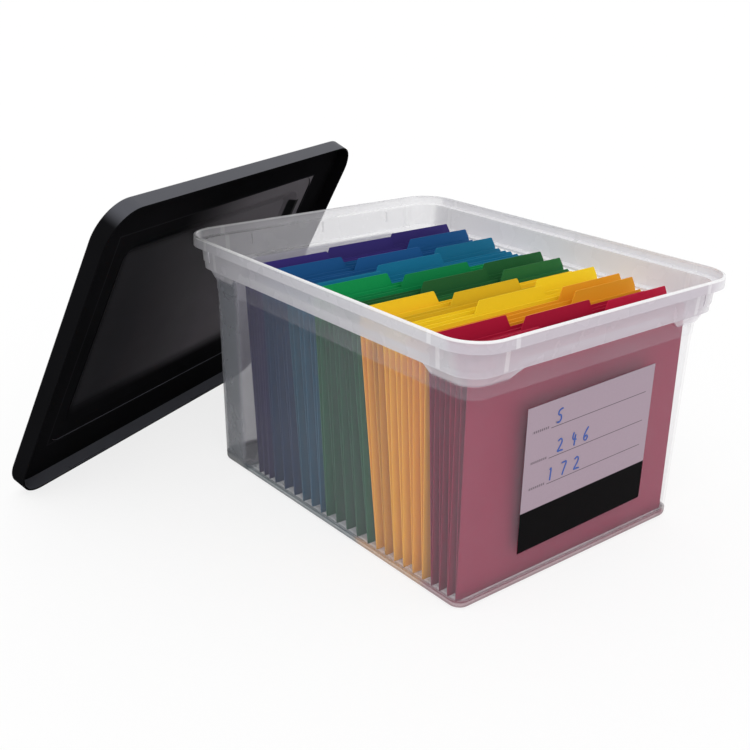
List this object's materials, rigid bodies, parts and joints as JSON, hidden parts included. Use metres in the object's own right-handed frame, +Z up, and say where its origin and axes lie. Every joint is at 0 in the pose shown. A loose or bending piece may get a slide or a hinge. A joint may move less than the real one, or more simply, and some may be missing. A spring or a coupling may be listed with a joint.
{
  "type": "portable file box",
  "caption": "Clear portable file box with a flanged rim and rounded corner bulges, tabbed coloured folders inside, a label on its end, and its black snap lid leaning behind.",
  "frame": {"origin": "centre of the tote's foot, on the floor", "axes": "+X across the box, +Y along it towards the end where the lid leans, +Z up; the label end faces -Y"},
  "size_m": [0.5659, 0.6566, 0.3353],
  "materials": {
    "clear_plastic": "translucent satin",
    "black_plastic": "satin",
    "label_paper": "matt",
    "card_indigo": "matt",
    "card_navy": "matt",
    "card_blue": "matt",
    "card_green": "matt",
    "card_yellow": "matt",
    "card_crimson": "matt"
  },
  "bodies": {
    "box": {"tote": "clear_plastic", "label": "label_paper"},
    "lid": {"lid": "black_plastic"},
    "folder_indigo_1": {"folder_indigo_1_front": "card_indigo", "folder_indigo_1_back": "card_indigo"},
    "folder_indigo_2": {"folder_indigo_2_front": "card_indigo", "folder_indigo_2_back": "card_indigo"},
    "folder_indigo_3": {"folder_indigo_3_front": "card_indigo", "folder_indigo_3_back": "card_indigo"},
    "folder_navy_1": {"folder_navy_1_front": "card_navy", "folder_navy_1_back": "card_navy"},
    "folder_navy_2": {"folder_navy_2_front": "card_navy", "folder_navy_2_back": "card_navy"},
    "folder_navy_3": {"folder_navy_3_front": "card_navy", "folder_navy_3_back": "card_navy"},
    "folder_blue_1": {"folder_blue_1_front": "card_blue", "folder_blue_1_back": "card_blue"},
    "folder_blue_2": {"folder_blue_2_front": "card_blue", "folder_blue_2_back": "card_blue"},
    "folder_blue_3": {"folder_blue_3_front": "card_blue", "folder_blue_3_back": "card_blue"},
    "folder_green_1": {"folder_green_1_front": "card_green", "folder_green_1_back": "card_green"},
    "folder_green_2": {"folder_green_2_front": "card_green", "folder_green_2_back": "card_green"},
    "folder_green_3": {"folder_green_3_front": "card_green", "folder_green_3_back": "card_green"},
    "folder_green_4": {"folder_green_4_front": "card_green", "folder_green_4_back": "card_green"},
    "folder_green_5": {"folder_green_5_front": "card_green", "folder_green_5_back": "card_green"},
    "folder_yellow_1": {"folder_yellow_1_front": "card_yellow", "folder_yellow_1_back": "card_yellow"},
    "folder_yellow_2": {"folder_yellow_2_front": "card_yellow", "folder_yellow_2_back": "card_yellow"},
    "folder_yellow_3": {"folder_yellow_3_front": "card_yellow", "folder_yellow_3_back": "card_yellow"},
    "folder_yellow_4": {"folder_yellow_4_front": "card_yellow", "folder_yellow_4_back": "card_yellow"},
    "folder_yellow_5": {"folder_yellow_5_front": "card_yellow", "folder_yellow_5_back": "card_yellow"},
    "folder_yellow_6": {"folder_yellow_6_front": "card_yellow", "folder_yellow_6_back": "card_yellow"},
    "folder_crimson_1": {"folder_crimson_1_front": "card_crimson", "folder_crimson_1_back": "card_crimson"},
    "folder_crimson_2": {"folder_crimson_2_front": "card_crimson", "folder_crimson_2_back": "card_crimson"},
    "folder_crimson_3": {"folder_crimson_3_front": "card_crimson", "folder_crimson_3_back": "card_crimson"},
    "folder_crimson_4": {"folder_crimson_4_front": "card_crimson", "folder_crimson_4_back": "card_crimson"}
  },
  "joints": [
    {"name": "lid_lift", "type": "slide", "parent": "box", "child": "lid", "axis": [0, 0, 1], "range_m": [0, 0.3]},
    {"name": "folder_indigo_1_lift", "type": "slide", "parent": "box", "child": "folder_indigo_1", "axis": [0, 0.0767, 0.9971], "range_m": [0, 0.262]},
    {"name": "folder_indigo_2_lift", "type": "slide", "parent": "box", "child": "folder_indigo_2", "axis": [0, 0.0715, 0.9974], "range_m": [0, 0.262]},
    {"name": "folder_indigo_3_lift", "type": "slide", "parent": "box", "child": "folder_indigo_3", "axis": [0, 0.0663, 0.9978], "range_m": [0, 0.262]},
    {"name": "folder_navy_1_lift", "type": "slide", "parent": "box", "child": "folder_navy_1", "axis": [0, 0.0698, 0.9976], "range_m": [0, 0.262]},
    {"name": "folder_navy_2_lift", "type": "slide", "parent": "box", "child": "folder_navy_2", "axis": [0, 0.0854, 0.9963], "range_m": [0, 0.262]},
    {"name": "folder_navy_3_lift", "type": "slide", "parent": "box", "child": "folder_navy_3", "axis": [0, 0.1011, 0.9949], "range_m": [0, 0.262]},
    {"name": "folder_blue_1_lift", "type": "slide", "parent": "box", "child": "folder_blue_1", "axis": [0, 0.1045, 0.9945], "range_m": [0, 0.262]},
    {"name": "folder_blue_2_lift", "type": "slide", "parent": "box", "child": "folder_blue_2", "axis": [0, 0.0924, 0.9957], "range_m": [0, 0.262]},
    {"name": "folder_blue_3_lift", "type": "slide", "parent": "box", "child": "folder_blue_3", "axis": [0, 0.0802, 0.9968], "range_m": [0, 0.262]},
    {"name": "folder_green_1_lift", "type": "slide", "parent": "box", "child": "folder_green_1", "axis": [0, 0.0802, 0.9968], "range_m": [0, 0.262]},
    {"name": "folder_green_2_lift", "type": "slide", "parent": "box", "child": "folder_green_2", "axis": [0, 0.0915, 0.9958], "range_m": [0, 0.262]},
    {"name": "folder_green_3_lift", "type": "slide", "parent": "box", "child": "folder_green_3", "axis": [0, 0.1028, 0.9947], "range_m": [0, 0.262]},
    {"name": "folder_green_4_lift", "type": "slide", "parent": "box", "child": "folder_green_4", "axis": [0, 0.1141, 0.9935], "range_m": [0, 0.262]},
    {"name": "folder_green_5_lift", "type": "slide", "parent": "box", "child": "folder_green_5", "axis": [0, 0.1253, 0.9921], "range_m": [0, 0.262]},
    {"name": "folder_yellow_1_lift", "type": "slide", "parent": "box", "child": "folder_yellow_1", "axis": [0, 0.1253, 0.9921], "range_m": [0, 0.262]},
    {"name": "folder_yellow_2_lift", "type": "slide", "parent": "box", "child": "folder_yellow_2", "axis": [0, 0.1115, 0.9938], "range_m": [0, 0.262]},
    {"name": "folder_yellow_3_lift", "type": "slide", "parent": "box", "child": "folder_yellow_3", "axis": [0, 0.0976, 0.9952], "range_m": [0, 0.262]},
    {"name": "folder_yellow_4_lift", "type": "slide", "parent": "box", "child": "folder_yellow_4", "axis": [0, 0.0837, 0.9965], "range_m": [0, 0.262]},
    {"name": "folder_yellow_5_lift", "type": "slide", "parent": "box", "child": "folder_yellow_5", "axis": [0, 0.0698, 0.9976], "range_m": [0, 0.262]},
    {"name": "folder_yellow_6_lift", "type": "slide", "parent": "box", "child": "folder_yellow_6", "axis": [0, 0.0558, 0.9984], "range_m": [0, 0.262]},
    {"name": "folder_crimson_1_lift", "type": "slide", "parent": "box", "child": "folder_crimson_1", "axis": [0, 0.0523, 0.9986], "range_m": [0, 0.262]},
    {"name": "folder_crimson_2_lift", "type": "slide", "parent": "box", "child": "folder_crimson_2", "axis": [0, 0.0419, 0.9991], "range_m": [0, 0.262]},
    {"name": "folder_crimson_3_lift", "type": "slide", "parent": "box", "child": "folder_crimson_3", "axis": [0, 0.0314, 0.9995], "range_m": [0, 0.262]},
    {"name": "folder_crimson_4_lift", "type": "slide", "parent": "box", "child": "folder_crimson_4", "axis": [0, 0.0209, 0.9998], "range_m": [0, 0.262]}
  ]
}
